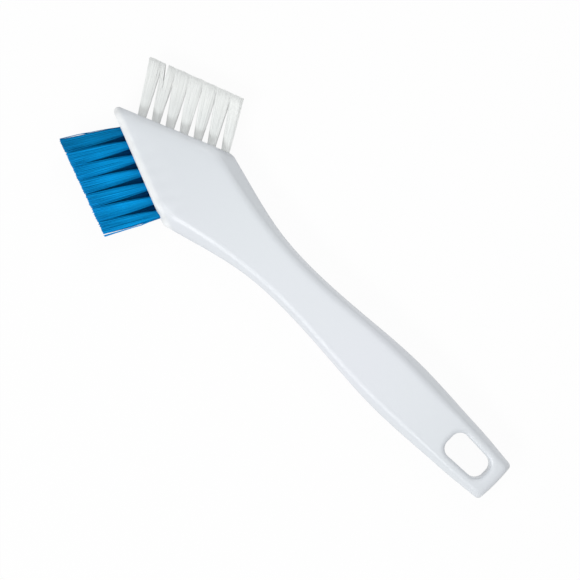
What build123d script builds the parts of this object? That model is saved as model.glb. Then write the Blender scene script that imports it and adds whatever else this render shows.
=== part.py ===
"""Two-sided crevice brush: a wedge-headed moulded handle with blue and white tufts.

Millimetres. +X runs from the pointed head to the hanging slot, the white tufts are on
the +Y side and the blue tufts on the -Y side. The brush lies flat on its lower face at
Z = 0, and the origin is on that face, on the long axis, under the head's shoulders.
"""

import os
from math import cos, radians, sin, sqrt, tan
from typing import NamedTuple

from build123d import *

os.makedirs("parts", exist_ok=True)

# Handle, seen from above: pointed head, waist and grip
handle_length = 200.0
head_angle = 44.0
shoulder_half_width = 18.6
shoulder_angle = 15.0
shoulder_round = 5.0
shoulder_straight = 5.0
tip_round = 1.75
waist_at = 52.5
waist_half_width = 9.2
grip_at = 106.5
grip_half_width = 12.05
end_half_width = 8.8
end_angle = 6.0
end_straight = 7.0
end_corner_round = 1.8
end_bow = 0.5

# In-between stations of the side, as shares of the way and of the change of width
flank_at_share = 0.66
flank_width_share = 0.89
swell_at_share = 0.5
swell_width_share = 0.5
taper_at_share = 0.61
taper_width_share = 0.4

# Handle, seen from the side
thickness = 11.0
side_land = 2.4
end_thinning = 1.4
thinning_length = 52.0

# Broad faces: how far their edge lies inside the handle's full outline
shoulder_face_inset = 4.6
flank_face_inset = 2.1
waist_face_inset = 1.9
swell_face_inset = 1.75
grip_face_inset = 2.7
taper_face_inset = 2.6
end_face_inset = 2.4
tail_face_inset = 1.2
face_shoulder_round = 12.0
face_end_round = 3.0
face_edge_round = 1.3

# Hanging slot near the handle's end
slot_length = 18.8
slot_width = 11.0
slot_narrowing = 1.6
slot_corner_round = 3.9
slot_end_wall = 5.6
slot_edge_round = 0.9

# Tufts and their blind holes, placed along the two sloping faces of the head
tuft_pitch = 5.67
tuft_hole_radius = 1.7
tuft_hole_depth = 8.5
tuft_lean = 9.0
tuft_fit = 0.05
centre_web = 1.0
white_first_tuft_at = 12.5
white_tuft_count = 7
white_trim_height = 21.3
blue_first_tuft_at = 11.2
blue_front_tuft_count = 7
blue_back_tuft_count = 6
blue_row_spacing = 3.2
blue_row_spread = 0.5
blue_trim_height = 22.2

# Bristles of one tuft, and how much wider than at the root they stand at the tips
strand_count = 22
strand_radius = 0.185
strand_sides = 4
strand_root_depth = 0.8
along_spread_share = 1.84
white_across_spread_share = 1.7
blue_across_spread_share = 1.2
golden_turn = 137.508

# Flat-wire anchors that hold the folded tufts in their holes
anchor_length = 4.1
anchor_height = 1.3
anchor_thickness = 0.35
anchor_fit = 0.02
tuft_fold = 0.6

cut_overrun = 2.0

half_angle = head_angle / 2
mid_height = thickness / 2
head_apex_x = -shoulder_half_width / tan(radians(half_angle))
head_tip_x = head_apex_x + tip_round / sin(radians(half_angle)) - tip_round
handle_end_x = head_tip_x + handle_length
thinning_start_x = handle_end_x - thinning_length
slot_end_x = handle_end_x - slot_end_wall
slot_start_x = slot_end_x - slot_length


class Insets(NamedTuple):
    """How far an outline lies inside the handle's full outline at its stations."""

    shoulder: float
    flank: float
    waist: float
    swell: float
    grip: float
    taper: float
    end: float
    tail: float


class TuftRow(NamedTuple):
    """One row of tufts: side is 1 for +Y and -1 for -Y, and level is over mid height."""

    name: str
    side: int
    first_at: float
    count: int
    level: float
    trim_height: float
    across_spread_share: float
    row_spread: float


full_outline = Insets(0, 0, 0, 0, 0, 0, 0, 0)
face_outline = Insets(
    shoulder_face_inset,
    flank_face_inset,
    waist_face_inset,
    swell_face_inset,
    grip_face_inset,
    taper_face_inset,
    end_face_inset,
    tail_face_inset,
)

tuft_rows = [
    TuftRow(
        "white",
        1,
        white_first_tuft_at,
        white_tuft_count,
        0,
        white_trim_height,
        white_across_spread_share,
        0,
    ),
    TuftRow(
        "blue_front",
        -1,
        blue_first_tuft_at,
        blue_front_tuft_count,
        blue_row_spacing / 2,
        blue_trim_height,
        blue_across_spread_share,
        blue_row_spread,
    ),
    TuftRow(
        "blue_back",
        -1,
        blue_first_tuft_at + tuft_pitch / 2,
        blue_back_tuft_count,
        -blue_row_spacing / 2,
        blue_trim_height,
        blue_across_spread_share,
        -blue_row_spread,
    ),
]


def between(start, end, share):
    """A value at a share of the way from one to another."""
    return start + (end - start) * share


def side_stations(inset):
    """The points that the curved stretch of the long side passes, between its straight ends."""
    flank_half_width = between(shoulder_half_width, waist_half_width, flank_width_share)
    swell_half_width = between(waist_half_width, grip_half_width, swell_width_share)
    taper_half_width = between(grip_half_width, end_half_width, taper_width_share)
    taper_end_x = handle_end_x - end_straight
    return [
        (between(0, waist_at, flank_at_share), flank_half_width - inset.flank),
        (waist_at, waist_half_width - inset.waist),
        (between(waist_at, grip_at, swell_at_share), swell_half_width - inset.swell),
        (grip_at, grip_half_width - inset.grip),
        (between(grip_at, taper_end_x, taper_at_share), taper_half_width - inset.taper),
    ]


def handle_outline(plane, inset, shoulder_corner_round, tail_corner_round):
    """A closed outline of the handle, with the same edges at every height."""
    corner_back = inset.shoulder / sin(radians(half_angle + shoulder_angle))
    corner = (
        -corner_back * cos(radians(half_angle)),
        shoulder_half_width - corner_back * sin(radians(half_angle)),
    )
    end_corner = (handle_end_x - end_bow - inset.tail, end_half_width - inset.end)
    with BuildSketch(plane) as outline:
        with BuildLine():
            Line((head_apex_x, 0), corner)
            shoulder_line = PolarLine(corner, shoulder_straight, -shoulder_angle)
            end_line = PolarLine(end_corner, end_straight, 180 - end_angle)
            Spline(
                shoulder_line @ 1,
                *side_stations(inset),
                end_line @ 1,
                tangents=[
                    (cos(radians(shoulder_angle)), -sin(radians(shoulder_angle))),
                    (cos(radians(end_angle)), -sin(radians(end_angle))),
                ],
            )
            TangentArc((handle_end_x - inset.tail, 0), end_corner, tangent=(0, 1))
            mirror(about=Plane.XZ)
        make_face()
        fillet(outline.vertices().group_by(Axis.X)[-1], tail_corner_round)
        fillet(outline.vertices().group_by(Axis.X)[1], shoulder_corner_round)
        fillet(outline.vertices().group_by(Axis.X)[0], tip_round)
    return outline.sketch


def bristle_face(side):
    """The sloping head face on one side: local X runs along it, away from the point."""
    return Plane(
        origin=(head_apex_x, 0, mid_height),
        x_dir=(cos(radians(half_angle)), side * sin(radians(half_angle)), 0),
        z_dir=(-sin(radians(half_angle)), side * cos(radians(half_angle)), 0),
    )


def tuft_plane(row, number):
    """The mouth of one tuft hole, with Z along the tuft, which leans to the point."""
    face = bristle_face(row.side)
    lean = radians(tuft_lean)
    mouth = face.origin + face.x_dir * (row.first_at + number * tuft_pitch) + (0, 0, row.level)
    return Plane(
        origin=mouth,
        x_dir=face.x_dir * cos(lean) + face.z_dir * sin(lean),
        z_dir=face.z_dir * cos(lean) - face.x_dir * sin(lean),
    )


def hole_depth(mouth):
    """Full depth, or as deep as leaves the web between the holes of the two sides."""
    drill_angle = radians(half_angle + tuft_lean)
    to_web = abs(mouth.origin.Y) - centre_web / 2 - tuft_hole_radius * sin(drill_angle)
    return min(tuft_hole_depth, to_web / cos(drill_angle))


def anchor_plane(mouth):
    """The middle of the anchor, on top of the folded end of the tuft."""
    return mouth.offset(tuft_fold + anchor_height / 2 - hole_depth(mouth))


def bristles(row, mouth):
    """The free strands of one tuft: straight, spreading evenly, trimmed to one plane."""
    face = bristle_face(row.side)
    lean = radians(tuft_lean)
    root_centre = mouth.origin - mouth.z_dir * strand_root_depth
    tip_centre = mouth.origin + mouth.z_dir * (row.trim_height / cos(lean))
    root_reach = tuft_hole_radius - tuft_fit - strand_radius
    root_reach = root_reach / (1 + (along_spread_share - 1) * strand_root_depth / row.trim_height)
    across = Vector(0, 0, 1)
    strands = []
    for index in range(strand_count):
        reach = root_reach * sqrt((index + 0.5) / strand_count)
        turn = radians(index * golden_turn)
        along_place = reach * cos(turn)
        across_place = reach * sin(turn)
        root = root_centre + face.x_dir * along_place + across * across_place
        tip = (
            tip_centre
            + face.x_dir * (along_place * along_spread_share)
            + across * (across_place * row.across_spread_share + row.row_spread)
        )
        run = tip - root
        with BuildSketch(Plane(origin=root, x_dir=face.x_dir, z_dir=face.z_dir)) as section:
            RegularPolygon(strand_radius, strand_sides, rotation=index * golden_turn)
        strands.append(extrude(section.sketch, amount=run.length, dir=run))
    return strands


mouths = {
    f"{row.name}_{{}}_{number + 1}": (row, tuft_plane(row, number))
    for row in tuft_rows
    for number in range(row.count)
}

with BuildPart() as handle:
    side_sketch = handle_outline(
        Plane.XY.offset(mid_height + side_land / 2),
        full_outline,
        shoulder_round,
        end_corner_round,
    )
    face_sketch = handle_outline(
        Plane.XY.offset(thickness), face_outline, face_shoulder_round, face_end_round
    )
    loft([side_sketch, face_sketch], ruled=True)
    extrude(side_sketch, amount=-side_land / 2)

    # The broad face falls away gently towards the handle's end
    with BuildSketch(Plane.XZ) as thinning:
        with BuildLine():
            thinned = TangentArc(
                (thinning_start_x, thickness),
                (handle_end_x, thickness - end_thinning),
                tangent=(1, 0),
            )
            Polyline(
                thinned @ 1,
                (handle_end_x + cut_overrun, thickness - end_thinning),
                (handle_end_x + cut_overrun, thickness + cut_overrun),
                (thinning_start_x, thickness + cut_overrun),
                (thinning_start_x, thickness),
            )
        make_face()
    extrude(amount=shoulder_half_width, both=True, mode=Mode.SUBTRACT)

    # Soft rim round the broad face, made on one quarter, so that all four match exactly
    split(bisect_by=Plane.XZ, keep=Keep.TOP)
    broad_faces = handle.faces().sort_by(Axis.Z)[-2:]
    rim = broad_faces.edges().filter_by(Axis.Y, reverse=True).filter_by(Plane.XZ, reverse=True)
    fillet(rim, face_edge_round)
    mirror(about=Plane.XZ)
    mirror(about=Plane.XY.offset(mid_height))

    # Hanging slot, a little narrower towards the end
    with BuildSketch() as slot:
        with BuildLine():
            Polyline(
                (slot_start_x, slot_width / 2),
                (slot_end_x, (slot_width - slot_narrowing) / 2),
                (slot_end_x, -(slot_width - slot_narrowing) / 2),
                (slot_start_x, -slot_width / 2),
                close=True,
            )
        make_face()
        fillet(slot.vertices(), slot_corner_round)
    extrude(amount=thickness, mode=Mode.SUBTRACT)
    slot_rim = handle.edges(Select.LAST).filter_by(Axis.Z, reverse=True)
    fillet(slot_rim, slot_edge_round)

    # Blind holes for the tufts, and the seats of the anchor ends in the hole walls
    for row, mouth in mouths.values():
        with Locations(mouth):
            Hole(tuft_hole_radius, depth=hole_depth(mouth))
        with Locations(anchor_plane(mouth)):
            Box(
                anchor_length + 2 * anchor_fit,
                anchor_thickness + 2 * anchor_fit,
                anchor_height + 2 * anchor_fit,
                mode=Mode.SUBTRACT,
            )

handle.part.label = "handle"
export_step(handle.part, "parts/handle.step")

for name, (row, mouth) in mouths.items():
    with BuildPart() as tuft:
        root_top = -tuft_hole_radius * tan(radians(tuft_lean))
        root_bottom = tuft_fit - hole_depth(mouth)
        with BuildSketch(mouth.offset(root_bottom)):
            Circle(tuft_hole_radius - tuft_fit)
        extrude(amount=root_top - root_bottom)
        add(bristles(row, mouth))
        with Locations(anchor_plane(mouth)):
            Box(
                anchor_length,
                anchor_thickness + 2 * anchor_fit,
                anchor_height + 2 * anchor_fit,
                mode=Mode.SUBTRACT,
            )
    tuft_name = name.format("tuft")
    tuft.part.label = tuft_name
    export_step(tuft.part, f"parts/{tuft_name}.step")

    with BuildPart() as anchor:
        with Locations(anchor_plane(mouth)):
            Box(anchor_length, anchor_thickness, anchor_height)
    anchor_name = name.format("anchor")
    anchor.part.label = anchor_name
    export_step(anchor.part, f"parts/{anchor_name}.step")
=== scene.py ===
"""The looks of the two-sided crevice brush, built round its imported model.

Metres, in the model's own frame: +X runs from the pointed head to the hanging slot, the
white tufts are on the +Y side and the blue tufts on the -Y side, and the brush lies on
its lower face at Z = 0.
"""

import random
from math import cos, pi, radians, sin, sqrt, tan

import bmesh
import bpy
from mathutils import Matrix, Vector, noise


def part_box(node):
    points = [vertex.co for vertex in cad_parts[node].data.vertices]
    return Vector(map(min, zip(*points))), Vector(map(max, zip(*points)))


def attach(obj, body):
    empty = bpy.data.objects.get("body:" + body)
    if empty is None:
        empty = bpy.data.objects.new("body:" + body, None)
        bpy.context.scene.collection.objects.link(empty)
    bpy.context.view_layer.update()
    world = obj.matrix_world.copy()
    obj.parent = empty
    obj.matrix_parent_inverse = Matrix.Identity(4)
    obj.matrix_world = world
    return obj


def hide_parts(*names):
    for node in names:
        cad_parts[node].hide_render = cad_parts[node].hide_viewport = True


MM = 0.001

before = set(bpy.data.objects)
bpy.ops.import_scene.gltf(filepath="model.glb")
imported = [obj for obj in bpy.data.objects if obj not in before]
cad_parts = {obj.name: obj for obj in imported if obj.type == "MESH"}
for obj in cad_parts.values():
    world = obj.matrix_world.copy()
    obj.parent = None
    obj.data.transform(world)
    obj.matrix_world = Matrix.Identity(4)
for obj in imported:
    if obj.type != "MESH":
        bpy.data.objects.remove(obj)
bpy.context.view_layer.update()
body_low, body_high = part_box("handle")
mid_height = (body_low.z + body_high.z) / 2

# Framing of the photograph: the handle's point, the way its axis runs, and its scale
photo_size_px = 580
head_point_px = Vector((116.5, 109.5))
handle_end_px = Vector((491.2, 479.1))
handle_length_px = 532.0
lens_mm = 100.0
sensor_mm = 36.0
clip_ratio = 100

# Studio: each lamp's place, width and height, and power. The sky has one strength as it
# lights the brush and another as the backdrop, and the table lies a hair below the brush.
key_place = Vector((0.0, -0.75, 0.62))
key_size = (0.75, 0.22)
key_power = 5.4
back_place = Vector((-0.2, 0.62, 0.5))
back_size = (0.3, 0.3)
back_power = 1.5
overhead_place = Vector((0.1, 0, 0.45))
overhead_size = (0.25, 0.25)
overhead_power = 0.25
sky_strength = 0.47
backdrop_strength = 1.0
table_reach = 3.0
table_gap = 0.02 * MM
table_glow_share = 0.95

# The sloping faces of the head and the tufts in them
head_half_angle = radians(22)
shoulder_half_width = 18.6 * MM
head_apex = Vector((-shoulder_half_width / tan(head_half_angle), 0, mid_height))
tuft_pitch = 5.67 * MM
tuft_lean = radians(9)
hole_radius = 1.7 * MM
white_tufts = 7
white_first_tuft_at = 12.5 * MM
blue_front_tufts = 7
blue_back_tufts = 6
blue_first_tuft_at = 11.2 * MM
blue_row_spacing = 3.2 * MM

# The handle's plastic: tints and roughness go from the first value to the second in clouds
plastic_tints = ((0.637, 0.683, 0.707, 1), (0.67, 0.69, 0.741, 1))
plastic_roughness = (0.27, 0.33)
cloud_scale = 18.0
cloud_detail = 2.0
grain_scale = 2600.0
grain_detail = 3.0
grain_strength = 0.08
grain_depth = 0.04 * MM

# Painted highlight on the head: a lighter border, by its distance from the sloping face with
# the blue tufts, that stands in for the shine of its rounded edge
painted_highlight_tint = (0.87, 0.89, 0.9, 1)
highlight_inner_edge = 3.3 * MM
highlight_outer_edge = 0.9 * MM

# Softness of the handle's rims: the stretches of X over which the radius goes from the
# head's to the neck's, and over which it falls to a share of that at the slot
neck_stretch = (-4 * MM, 4 * MM)
rim_radii = (7.5 * MM, 4.4 * MM)
slot_stretch = (118 * MM, 128 * MM)
slot_rim_shares = (1.0, 0.6)
rim_samples = 8

# Anchors' wire
wire_roughness = (0.25, 0.5)
wire_line_scale = 4000.0
wire_line_detail = 2.0

# Bristles
bristle_seed = 7
filament_radius = 0.11 * MM
filament_sides = 5
filament_steps = 7
filaments_per_tuft = 215
golden_turn = pi * (3 - sqrt(5))
root_depth = 3.0 * MM
white_tip_reach = 3.15 * MM
blue_tip_reach = 2.95 * MM
white_across_reach = 2.5 * MM
blue_across_reach = 2.05 * MM
tip_reach_spread = 0.12 * MM
spread_ease = 0.75
loose_spread_ease = 0.35
trim_spread = 0.12 * MM
bow_spread = 0.12 * MM
wander_spread = 0.11 * MM
stray_share = 0.006
stray_wander = 0.9 * MM

# Slits: each one's place in its row, from the middle of the first tuft, its half width at
# the tips, and the share of the height at which it opens. The last two part the strands
# at the blue block's ends.
white_slit = (4.95 * MM, 0.85 * MM, 0.62)
blue_front_slit = (tuft_pitch / 2, 0.4 * MM, 0.84)
blue_back_slit = (0, 0.4 * MM, 0.84)
blue_first_strand = (-2.75 * MM, 0.1 * MM, 0.62)
blue_last_strand = (tuft_pitch * (blue_front_tufts - 1) + 2.4 * MM, 0.36 * MM, 0.3)

# Tones of the bristles: painted shade by the tuft's place in its row, darker towards the
# point, and at random in streaks and each one's own.
# The bed is painted shade in the middle between the two blue rows, which fades towards the
# tips.
point_shade_share = 0.5
middle_tone = 0.5
streak_rate = 2.6
streak_strength = 0.9
tone_spread = 0.15
shade_bed_half_depth = 3.2 * MM
shade_bed_fade = 0.7

# How far a bristle's normal leans out of its tuft, along the row and upwards
bundle_along = 0.6
bundle_across = 1.9


class Parting:
    """A slit that opens in a row of bristles towards their tips."""

    def __init__(self, place, half_width, start):
        self.place = place
        self.half_width = half_width
        self.start = start

    def keep_clear(self, along_place, tip_place, share):
        """Pushes a bristle out of the slit, to the side on which its tip is."""
        if share <= self.start:
            return along_place
        opening = self.half_width * (share - self.start) / (1 - self.start)
        side = 1 if tip_place > self.place else -1
        return self.place + side * max(side * (along_place - self.place), opening)


class TuftRow:
    """One row of tufts in one sloping face; side is 1 for +Y and -1 for -Y."""

    def __init__(self, name, side, count, first_at, level):
        self.name = name
        self.side = side
        self.count = count
        self.first_at = first_at
        self.level = level
        # How high its first and last tufts are trimmed, over the face
        self.trims = (21.8 * MM, 20.9 * MM)
        # How far the tips of a tuft reach from its middle, along the row and across it
        self.inner_tip_reach = blue_tip_reach
        self.end_tip_reach = blue_tip_reach
        self.across_tip_reach = blue_across_reach
        # How far the whole row leans upwards at the tips
        self.row_spread = 0
        self.spread_ease = spread_ease
        self.loose_tufts = []
        self.partings = []
        # Painted shade: how many tufts, from the point, the row needs to climb out of it to
        # its full lightness
        self.point_shade_tufts = 0
        # Painted shade along the height: shares of the height, each with how far the bristles
        # are out of it there, 1 for unshaded and 0 for fully shaded
        self.unshaded_at = [(0, 0), (0.5, 1), (1, 0)]
        # Where the noise of the streaks starts, so that no two rows are alike
        self.streak_at = Vector((first_at, 0, level)) / MM
        self.along = Vector((cos(head_half_angle), side * sin(head_half_angle), 0))
        self.out = Vector((-sin(head_half_angle), side * cos(head_half_angle), 0))
        self.bristle_axis = self.out - self.along * tan(tuft_lean)

    def mouth(self, along_place):
        """A place in the line of the holes, counted from the middle of the first one."""
        place = head_apex + self.along * (self.first_at + along_place)
        return place + Vector((0, 0, self.level))

    def trim_height(self, along_place):
        """How high the bristles are cut, over the face, at a place along it."""
        share = along_place / (tuft_pitch * (self.count - 1))
        return self.trims[0] + (self.trims[1] - self.trims[0]) * share

    def tone(self, number, place, draw):
        """How light a bristle is, from 0 to 1: at random in streaks, and with painted shade
        that makes the tufts near the point darker.
        """
        # Painted shade by the tuft's place, darker towards the point
        rise = min(number / self.point_shade_tufts, 1) if self.point_shade_tufts else 1
        streak = noise.noise(Vector((place.x, place.y, number)) * streak_rate + self.streak_at)
        own = middle_tone + streak_strength * streak + draw.gauss(0, tone_spread)
        return point_shade_share * rise + (1 - point_shade_share) * min(max(own, 0), 1)

    def unshaded_share(self, share):
        """How far a bristle is out of its painted shade, from 0 to 1, at a share of its
        height.
        """
        steps = self.unshaded_at
        for (low, low_value), (high, high_value) in zip(steps, steps[1:]):
            if share <= high:
                return low_value + (high_value - low_value) * (share - low) / (high - low)
        return high_value

    def tip_reach(self, number, side):
        """How far a tuft's tips reach along the face, to the point (-) or the shoulder (+)."""
        outermost = number == (0 if side < 0 else self.count - 1)
        return self.end_tip_reach if outermost else self.inner_tip_reach


white_row = TuftRow(
    "white", side=1, count=white_tufts, first_at=white_first_tuft_at, level=0
)
white_row.inner_tip_reach = white_tip_reach
white_row.end_tip_reach = 2.3 * MM
white_row.across_tip_reach = white_across_reach
white_row.spread_ease = 1.0
white_row.point_shade_tufts = 3
white_row.unshaded_at = [(0, 1), (0.27, 0), (0.62, 1), (1, 0.9)]
white_row.partings = [Parting(*white_slit)]

blue_front_row = TuftRow(
    "blue_front",
    side=-1,
    count=blue_front_tufts,
    first_at=blue_first_tuft_at,
    level=blue_row_spacing / 2,
)
blue_front_row.trims = (22.7 * MM, 21.7 * MM)
blue_front_row.end_tip_reach = 3.1 * MM
blue_front_row.row_spread = 0.45 * MM
blue_front_row.point_shade_tufts = 1
blue_front_row.loose_tufts = [0]
blue_front_row.partings = [
    Parting(*blue_first_strand),
    Parting(*blue_front_slit),
    Parting(*blue_last_strand),
]

blue_back_row = TuftRow(
    "blue_back",
    side=-1,
    count=blue_back_tufts,
    first_at=blue_first_tuft_at + tuft_pitch / 2,
    level=-blue_row_spacing / 2,
)
blue_back_row.trims = (22.6 * MM, 21.8 * MM)
blue_back_row.row_spread = -0.45 * MM
blue_back_row.partings = [Parting(*blue_back_slit)]


def make_camera():
    """Straight above, turned and placed so that the brush lies as in the photograph."""
    scale = (body_high.x - body_low.x) / handle_length_px
    run_px = (handle_end_px - head_point_px).normalized()
    right = Vector((run_px.x, run_px.y))
    up = Vector((-run_px.y, run_px.x))
    centre_px = Vector((photo_size_px / 2, photo_size_px / 2)) - head_point_px
    middle = right * centre_px.x - up * centre_px.y
    view_width = photo_size_px * scale
    distance = view_width / 2 / (sensor_mm / 2 / lens_mm)
    data = bpy.data.cameras.new("camera")
    data.lens = lens_mm
    data.sensor_width = sensor_mm
    data.clip_start = distance / clip_ratio
    data.clip_end = distance * clip_ratio
    camera = bpy.data.objects.new("camera", data)
    camera.location = (
        body_low.x + middle.x * scale,
        middle.y * scale,
        mid_height + distance,
    )
    camera.rotation_euler = (0, 0, right.angle_signed(Vector((1, 0))))
    bpy.context.scene.collection.objects.link(camera)
    bpy.context.scene.camera = camera


def feed(tree, socket, source):
    """Sets a socket to a plain value, or links it to the socket that is given."""
    if isinstance(source, bpy.types.NodeSocket):
        tree.links.new(source, socket)
    else:
        socket.default_value = source


def calculate(tree, operation, first, second):
    """The result of one sum on two values."""
    node = tree.nodes.new("ShaderNodeMath")
    node.operation = operation
    feed(tree, node.inputs[0], first)
    feed(tree, node.inputs[1], second)
    return node.outputs[0]


def map_range(tree, value, source=(0.0, 1.0), target=(0.0, 1.0), smooth=False):
    """A value that runs over the source range, turned into one over the target range."""
    node = tree.nodes.new("ShaderNodeMapRange")
    node.interpolation_type = "SMOOTHSTEP" if smooth else "LINEAR"
    feed(tree, node.inputs["From Min"], source[0])
    feed(tree, node.inputs["From Max"], source[1])
    feed(tree, node.inputs["To Min"], target[0])
    feed(tree, node.inputs["To Max"], target[1])
    feed(tree, node.inputs["Value"], value)
    return node.outputs["Result"]


def mix_values(tree, kind, share, first, second):
    """A colour or vector between two."""
    node = tree.nodes.new("ShaderNodeMix")
    node.data_type = kind
    feed(tree, node.inputs["Factor"], share)
    feed(tree, node.inputs["A"], first)
    feed(tree, node.inputs["B"], second)
    return node.outputs["Result"]


def noise_pattern(tree, place, scale, detail):
    """A pattern from 0 to 1 that is fixed to the object."""
    node = tree.nodes.new("ShaderNodeTexNoise")
    node.inputs["Scale"].default_value = scale
    node.inputs["Detail"].default_value = detail
    tree.links.new(place, node.inputs["Vector"])
    return node.outputs["Fac"]


def attribute(tree, name, output="Fac"):
    """A value or vector that the bristles' mesh carries."""
    node = tree.nodes.new("ShaderNodeAttribute")
    node.attribute_name = name
    return node.outputs[output]


def area_light(name, place, aim, size, power):
    """A soft box of a width and height that points at a place and doesn't show itself."""
    data = bpy.data.lights.new(name, "AREA")
    data.shape = "RECTANGLE"
    data.size, data.size_y = size
    data.energy = power
    light = bpy.data.objects.new(name, data)
    light.location = place
    light.rotation_euler = (aim - place).to_track_quat("-Z", "Y").to_euler()
    light.visible_camera = False
    bpy.context.scene.collection.objects.link(light)


def sees_the_backdrop(tree):
    """1 for the rays that show the white studio: from the camera, a gloss or through glass."""
    rays = tree.nodes.new("ShaderNodeLightPath").outputs
    direct = calculate(tree, "MAXIMUM", rays["Is Camera Ray"], rays["Is Glossy Ray"])
    return calculate(tree, "MAXIMUM", direct, rays["Is Transmission Ray"])


def make_lights():
    """A long soft box on the blue side, weak ones behind and overhead, and an even sky."""
    middle = (body_low + body_high) / 2
    straight_down = overhead_place - Vector((0, 0, 1))
    area_light("key_light", key_place, middle, key_size, key_power)
    area_light("back_light", back_place, middle, back_size, back_power)
    area_light("overhead_light", overhead_place, straight_down, overhead_size, overhead_power)
    world = bpy.data.worlds.new("studio")
    bpy.context.scene.world = world
    world.use_nodes = True
    tree = world.node_tree
    background = tree.nodes["Background"]
    background.inputs["Color"].default_value = (1, 1, 1, 1)
    brightness = (sky_strength, backdrop_strength)
    strength = map_range(tree, sees_the_backdrop(tree), target=brightness)
    tree.links.new(strength, background.inputs["Strength"])


def new_material(name):
    """A material with its node tree and its Principled shader."""
    material = bpy.data.materials.new(name)
    material.use_nodes = True
    return material, material.node_tree, material.node_tree.nodes["Principled BSDF"]


def make_floor():
    """A white table that shows as the white background and takes a faint shadow."""
    material, tree, shader = new_material("white_table")
    shader.inputs["Base Color"].default_value = (0.8, 0.8, 0.8, 1)
    shader.inputs["Roughness"].default_value = 0.9
    glow = tree.nodes.new("ShaderNodeEmission")
    glow.inputs["Color"].default_value = (1, 1, 1, 1)
    share = calculate(tree, "MULTIPLY", sees_the_backdrop(tree), table_glow_share)
    mix = tree.nodes.new("ShaderNodeMixShader")
    tree.links.new(share, mix.inputs["Fac"])
    tree.links.new(shader.outputs[0], mix.inputs[1])
    tree.links.new(glow.outputs[0], mix.inputs[2])
    tree.links.new(mix.outputs[0], tree.nodes["Material Output"].inputs["Surface"])
    mesh = bpy.data.meshes.new("table_top")
    table = bmesh.new()
    just_below = Matrix.Translation((0, 0, -table_gap))
    bmesh.ops.create_grid(
        table, x_segments=1, y_segments=1, size=table_reach, matrix=just_below
    )
    table.to_mesh(mesh)
    table.free()
    mesh.materials.append(material)
    floor = bpy.data.objects.new("table_top", mesh)
    bpy.context.scene.collection.objects.link(floor)


def painted_highlight_mask(tree, place):
    """The mask of the painted highlight: from 0 on the broad face to 1 at the head's edge over
    the blue tufts.
    """
    distance = tree.nodes.new("ShaderNodeVectorMath")
    distance.operation = "DOT_PRODUCT"
    distance.inputs[1].default_value = blue_front_row.out
    tree.links.new(place, distance.inputs[0])
    face_at = blue_front_row.out.dot(head_apex)
    stretch = (face_at - highlight_inner_edge, face_at - highlight_outer_edge)
    return map_range(tree, distance.outputs["Value"], source=stretch, smooth=True)


def soft_rims(tree, place):
    """The normal of a surface whose rims are rounder than its mesh."""
    axes = tree.nodes.new("ShaderNodeSeparateXYZ")
    tree.links.new(place, axes.inputs["Vector"])
    radius = map_range(tree, axes.outputs["X"], neck_stretch, rim_radii)
    fall = map_range(tree, axes.outputs["X"], slot_stretch, slot_rim_shares)
    bevel = tree.nodes.new("ShaderNodeBevel")
    bevel.samples = rim_samples
    tree.links.new(calculate(tree, "MULTIPLY", radius, fall), bevel.inputs["Radius"])
    return bevel.outputs["Normal"]


def make_handle_plastic():
    """Satin white polypropylene with soft rims and a very fine moulded texture."""
    material, tree, shader = new_material("white_polypropylene")
    place = tree.nodes.new("ShaderNodeTexCoord").outputs["Object"]
    shader.inputs["Specular IOR Level"].default_value = 1.0
    cloud = noise_pattern(tree, place, cloud_scale, cloud_detail)
    tint = mix_values(tree, "RGBA", cloud, *plastic_tints)
    # Painted highlight: the head's edge over the blue tufts is made lighter in colour
    highlighted_tint = mix_values(tree, "RGBA", painted_highlight_mask(tree, place), tint, painted_highlight_tint)
    tree.links.new(highlighted_tint, shader.inputs["Base Color"])
    roughness = map_range(tree, cloud, target=plastic_roughness)
    tree.links.new(roughness, shader.inputs["Roughness"])
    grain = noise_pattern(tree, place, grain_scale, grain_detail)
    bump = tree.nodes.new("ShaderNodeBump")
    bump.inputs["Strength"].default_value = grain_strength
    bump.inputs["Distance"].default_value = grain_depth
    tree.links.new(grain, bump.inputs["Height"])
    tree.links.new(soft_rims(tree, place), bump.inputs["Normal"])
    tree.links.new(bump.outputs["Normal"], shader.inputs["Normal"])
    return material


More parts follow.
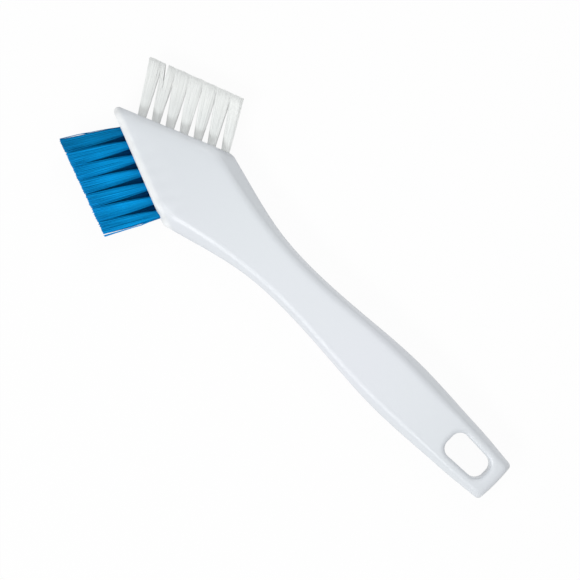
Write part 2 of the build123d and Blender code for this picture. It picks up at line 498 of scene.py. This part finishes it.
def make_filament_look():
    """The colour and normal of a filament, for both nylons.

    The attributes unshaded, deep and tone choose its colour between the given ones and how
    light it is. They carry painted shade along the height, in the bed between the blue rows
    and by the tuft's place in its row; tone also carries the bristles' random tone. Softness
    blends its own normal with the one of its tuft as a whole.
    """
    tree = bpy.data.node_groups.new("filament_look", "ShaderNodeTree")
    for name in ("Shaded Color", "Unshaded Color", "Painted Shade Color"):
        tree.interface.new_socket(name, in_out="INPUT", socket_type="NodeSocketColor")
    for name in ("Darkest", "Lightest", "Softness"):
        tree.interface.new_socket(name, in_out="INPUT", socket_type="NodeSocketFloat")
    tree.interface.new_socket("Color", in_out="OUTPUT", socket_type="NodeSocketColor")
    tree.interface.new_socket("Normal", in_out="OUTPUT", socket_type="NodeSocketVector")
    given = tree.nodes.new("NodeGroupInput").outputs
    result = tree.nodes.new("NodeGroupOutput").inputs
    # Painted shade along the height: the colour between the shaded and the unshaded one
    own = mix_values(
        tree, "RGBA", attribute(tree, "unshaded"), given["Shaded Color"], given["Unshaded Color"]
    )
    in_painted_shade = mix_values(tree, "RGBA", attribute(tree, "deep"), own, given["Painted Shade Color"])
    tones = (given["Darkest"], given["Lightest"])
    shade = tree.nodes.new("ShaderNodeHueSaturation")
    tree.links.new(in_painted_shade, shade.inputs["Color"])
    tree.links.new(
        map_range(tree, attribute(tree, "tone"), target=tones), shade.inputs["Value"]
    )
    tree.links.new(shade.outputs["Color"], result["Color"])
    surface = tree.nodes.new("ShaderNodeNewGeometry").outputs["Normal"]
    bundle = attribute(tree, "bundle", "Vector")
    unit = tree.nodes.new("ShaderNodeVectorMath")
    unit.operation = "NORMALIZE"
    tree.links.new(
        mix_values(tree, "VECTOR", given["Softness"], surface, bundle), unit.inputs[0]
    )
    tree.links.new(unit.outputs["Vector"], result["Normal"])
    return tree


def make_nylon(name, look, shaded, unshaded, deep, tones, softness, shadow):
    """Nylon monofilament.

    Softness is how far a filament is lit as a part of its tuft, and shadow is how much of
    the light it holds back.
    """
    material, tree, shader = new_material(name)
    filament = tree.nodes.new("ShaderNodeGroup")
    filament.node_tree = look
    # Painted shade: the shaded colour low on the bristles
    filament.inputs["Shaded Color"].default_value = (*shaded, 1)
    filament.inputs["Unshaded Color"].default_value = (*unshaded, 1)
    # Painted shade: the darker colour of the bed between the blue rows
    filament.inputs["Painted Shade Color"].default_value = (*deep, 1)
    filament.inputs["Darkest"].default_value = tones[0]
    filament.inputs["Lightest"].default_value = tones[1]
    filament.inputs["Softness"].default_value = softness
    tree.links.new(filament.outputs["Color"], shader.inputs["Base Color"])
    tree.links.new(filament.outputs["Normal"], shader.inputs["Normal"])
    rays = tree.nodes.new("ShaderNodeLightPath").outputs
    lights = calculate(tree, "MAXIMUM", rays["Is Shadow Ray"], rays["Is Diffuse Ray"])
    holds_back = map_range(tree, lights, target=(1.0, shadow))
    tree.links.new(holds_back, shader.inputs["Alpha"])
    return material, shader


def make_white_nylon(look):
    """Milky filaments, which let nearly all the light through to those below."""
    milky = (0.975, 1.0, 0.985)
    material, shader = make_nylon(
        "white_nylon",
        look,
        # Painted shade: the shaded colour that darkens the tufts low down
        shaded=(0.77, 0.81, 0.815),
        unshaded=milky,
        deep=milky,
        tones=(0.92, 1.0),
        softness=0.6,
        shadow=0.01,
    )
    shader.inputs["Roughness"].default_value = 0.5
    shader.inputs["Specular IOR Level"].default_value = 0.3
    return material


def make_blue_nylon(look):
    """Azure filaments with hardly any shine."""
    material, shader = make_nylon(
        "blue_nylon",
        look,
        # Painted shade: the shaded colour towards the roots and the tips
        shaded=(0.002, 0.27, 0.64),
        unshaded=(0.002, 0.36, 0.81),
        # Painted shade in the bed between the rows
        deep=(0.0, 0.047, 0.18),
        tones=(0.5, 1.12),
        softness=0.3,
        shadow=0.5,
    )
    shader.inputs["Roughness"].default_value = 0.5
    shader.inputs["Specular IOR Level"].default_value = 0.03
    return material


def make_anchor_wire():
    """Drawn steel wire with a finely uneven shine."""
    material, tree, shader = new_material("drawn_wire")
    place = tree.nodes.new("ShaderNodeTexCoord").outputs["Object"]
    shader.inputs["Metallic"].default_value = 1.0
    shader.inputs["Base Color"].default_value = (0.62, 0.6, 0.56, 1)
    drawn_lines = noise_pattern(tree, place, wire_line_scale, wire_line_detail)
    roughness = map_range(tree, drawn_lines, target=wire_roughness)
    tree.links.new(roughness, shader.inputs["Roughness"])
    return material


def make_filament_mesh():
    """One straight filament of unit length and unit radius, closed and cut into steps."""
    rod = bmesh.new()
    bmesh.ops.create_cone(
        rod,
        cap_ends=True,
        segments=filament_sides,
        radius1=1,
        radius2=1,
        depth=1,
        matrix=Matrix.Translation((0, 0, 0.5)),
    )
    for step in range(1, filament_steps):
        bmesh.ops.bisect_plane(
            rod,
            geom=[*rod.verts, *rod.edges, *rod.faces],
            plane_co=(0, 0, step / filament_steps),
            plane_no=(0, 0, 1),
        )
    mesh = bpy.data.meshes.new("filament")
    rod.to_mesh(mesh)
    rod.free()
    return mesh


def lay_filament(tuft, layers, rod, row, number, place, reach_change, draw):
    """One filament of a tuft, from its place in the hole out to the trimmed tips.

    The place is the filament's in the tuft's section, -1 to 1 along the row and upwards.
    """
    root_reach = hole_radius - filament_radius
    along_root = number * tuft_pitch + place.x * root_reach
    across_root = place.y * root_reach
    wander = stray_wander if draw.random() < stray_share else wander_spread
    tip_reach = row.tip_reach(number, place.x) + reach_change
    along_out = place.x * (tip_reach - root_reach) + draw.gauss(0, wander)
    across_out = place.y * (row.across_tip_reach - root_reach) + draw.gauss(0, wander)
    across_out += row.row_spread
    along_bow = draw.gauss(0, bow_spread)
    across_bow = draw.gauss(0, bow_spread)
    height = row.trim_height(number * tuft_pitch) + draw.gauss(0, trim_spread)
    ease = loose_spread_ease if number in row.loose_tufts and place.x > 0 else row.spread_ease
    # Random tone, with painted shade by the tuft's place in its row
    tone = row.tone(number, place, draw)
    along_bundle = row.along * place.x * bundle_along
    across_bundle = Vector((0, 0, max(place.y, 0))) * bundle_across
    start = len(tuft.verts)
    tuft.from_mesh(rod)
    tuft.verts.ensure_lookup_table()
    for vertex in tuft.verts[start:]:
        level = vertex.co.z * (height + root_depth) - root_depth
        share = max(level, 0) / height
        # The bow is nothing at the root and the tip and full halfway up
        bow = 4 * share * (1 - share)
        along_place = along_root + along_out * share**ease + along_bow * bow
        for parting in row.partings:
            along_place = parting.keep_clear(along_place, along_root + along_out, share)
        across_place = across_root + across_out * share**ease + across_bow * bow
        centre = row.mouth(along_place) + row.bristle_axis * level
        across = Vector((0, 0, across_place + vertex.co.y * filament_radius))
        # Painted shade along the height of the bristle
        vertex[layers["unshaded"]] = row.unshaded_share(share)
        vertex[layers["tone"]] = tone
        vertex[layers["bundle"]] = along_bundle * (1 - share)**2 + across_bundle
        # Painted shade in the bed between the blue rows: darkest in the middle, fading towards
        # the tips
        off_centre = abs(row.level + across_place) / shade_bed_half_depth
        vertex[layers["deep"]] = max(0, 1 - off_centre**2) * (1 - shade_bed_fade * share)
        vertex.co = centre + across + row.along * (vertex.co.x * filament_radius)


def make_tuft(row, number, rod, material, draw):
    """A tuft of filaments in the place of its plain CAD solid."""
    name = f"{row.name}_tuft_{number + 1}"
    tuft = bmesh.new()
    layers = {word: tuft.verts.layers.float.new(word) for word in ("unshaded", "tone", "deep")}
    layers["bundle"] = tuft.verts.layers.float_vector.new("bundle")
    reach_change = draw.gauss(0, tip_reach_spread)
    for index in range(filaments_per_tuft):
        reach = sqrt((index + 0.5) / filaments_per_tuft)
        turn = index * golden_turn
        place = Vector((reach * cos(turn), reach * sin(turn)))
        lay_filament(tuft, layers, rod, row, number, place, reach_change, draw)
    bmesh.ops.recalc_face_normals(tuft, faces=tuft.faces)
    # The sides have four corners and are smooth; the cut ends stay flat
    for face in tuft.faces:
        face.smooth = len(face.verts) == 4
    mesh = bpy.data.meshes.new(name)
    tuft.to_mesh(mesh)
    tuft.free()
    mesh.materials.append(material)
    piece = bpy.data.objects.new(f"{name}_bristles", mesh)
    bpy.context.scene.collection.objects.link(piece)
    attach(piece, "root")
    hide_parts(name)


def dress(node, material):
    """Gives a CAD node its finish."""
    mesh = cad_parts[node].data
    mesh.materials.clear()
    mesh.materials.append(material)


bpy.context.scene.view_settings.view_transform = "Standard"
make_camera()
make_lights()
make_floor()

dress("handle", make_handle_plastic())
anchor_wire = make_anchor_wire()
filament_look = make_filament_look()
white_nylon = make_white_nylon(filament_look)
blue_nylon = make_blue_nylon(filament_look)
filament_mesh = make_filament_mesh()
draw = random.Random(bristle_seed)
for row in (white_row, blue_front_row, blue_back_row):
    nylon = white_nylon if row.side > 0 else blue_nylon
    for number in range(row.count):
        make_tuft(row, number, filament_mesh, nylon, draw)
        dress(f"{row.name}_anchor_{number + 1}", anchor_wire)
